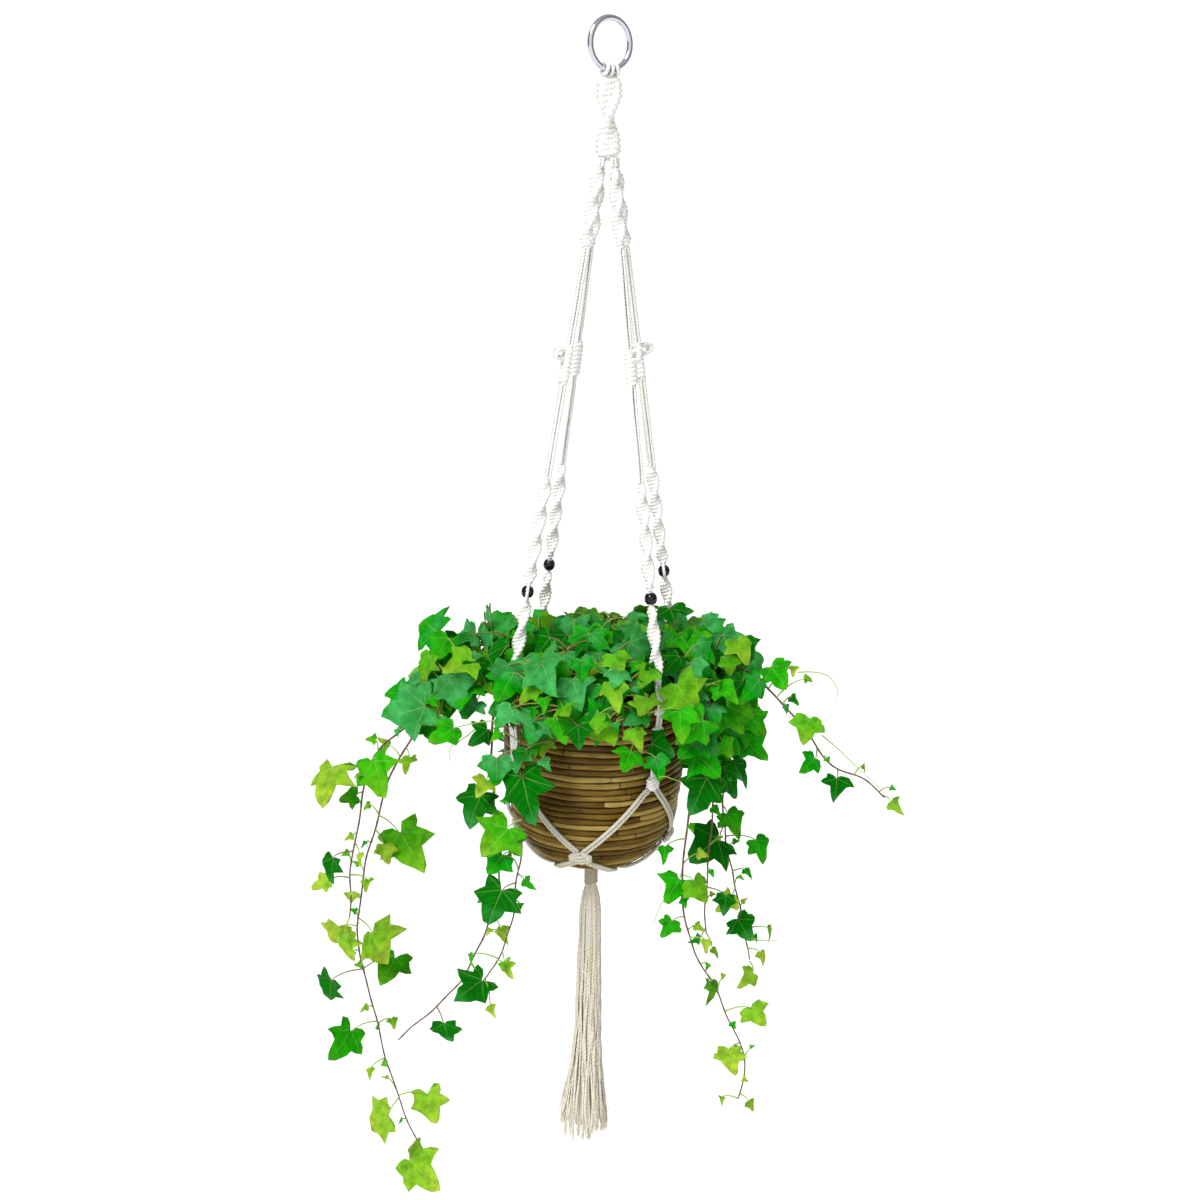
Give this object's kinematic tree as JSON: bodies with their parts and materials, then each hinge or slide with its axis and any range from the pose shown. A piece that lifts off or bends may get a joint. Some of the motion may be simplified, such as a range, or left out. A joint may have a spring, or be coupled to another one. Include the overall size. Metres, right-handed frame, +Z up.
{
  "type": "hanging potted english ivy",
  "caption": "English ivy trailing from a rattan basket that hangs in a knotted white cotton hanger with a steel ring and a tassel.",
  "frame": {"origin": "inside top of the steel ring, where a hook carries the whole piece", "axes": "+Z up along the hanger's axis, -Y towards the front of the basket, +X to its right"},
  "size_m": [0.5903, 0.3161, 1.1866],
  "materials": {
    "chrome": "polished",
    "cotton": "matt knotted cord",
    "bead": "gloss",
    "tassel_cotton": "loose matt fibre",
    "rattan": "satin woven cane",
    "liner_plastic": "matt",
    "soil": "loose potting soil",
    "ivy": "satin leaf"
  },
  "bodies": {
    "root": {"hang_ring": "chrome", "crown_sinnet": "cotton", "arm_front_left": "cotton", "arm_front_right": "cotton", "arm_rear_right": "cotton", "arm_rear_left": "cotton", "net_cords_front_left_left": "cotton", "net_cords_front_left_right": "cotton", "net_cords_front_right_left": "cotton", "net_cords_front_right_right": "cotton", "net_cords_rear_right_left": "cotton", "net_cords_rear_right_right": "cotton", "net_cords_rear_left_left": "cotton", "net_cords_rear_left_right": "cotton", "net_knot_front": "cotton", "net_knot_right": "cotton", "net_knot_rear": "cotton", "net_knot_left": "cotton", "net_gather": "cotton", "bead_front_left": "bead", "bead_front_right": "bead", "bead_rear_right": "bead", "bead_rear_left": "bead", "collar": "tassel_cotton", "tassel": "tassel_cotton", "basket": "rattan", "liner": "liner_plastic", "soil": "soil", "vine_left_outer": "ivy", "vine_left_inner": "ivy", "vine_front_left": "ivy", "vine_left_low": "ivy", "vine_far_right": "ivy", "vine_right_front": "ivy", "vine_right_side": "ivy", "vine_right_low": "ivy", "vine_rear_left": "ivy", "vine_rear_right": "ivy", "ivy_crown": "ivy"}
  },
  "joints": []
}
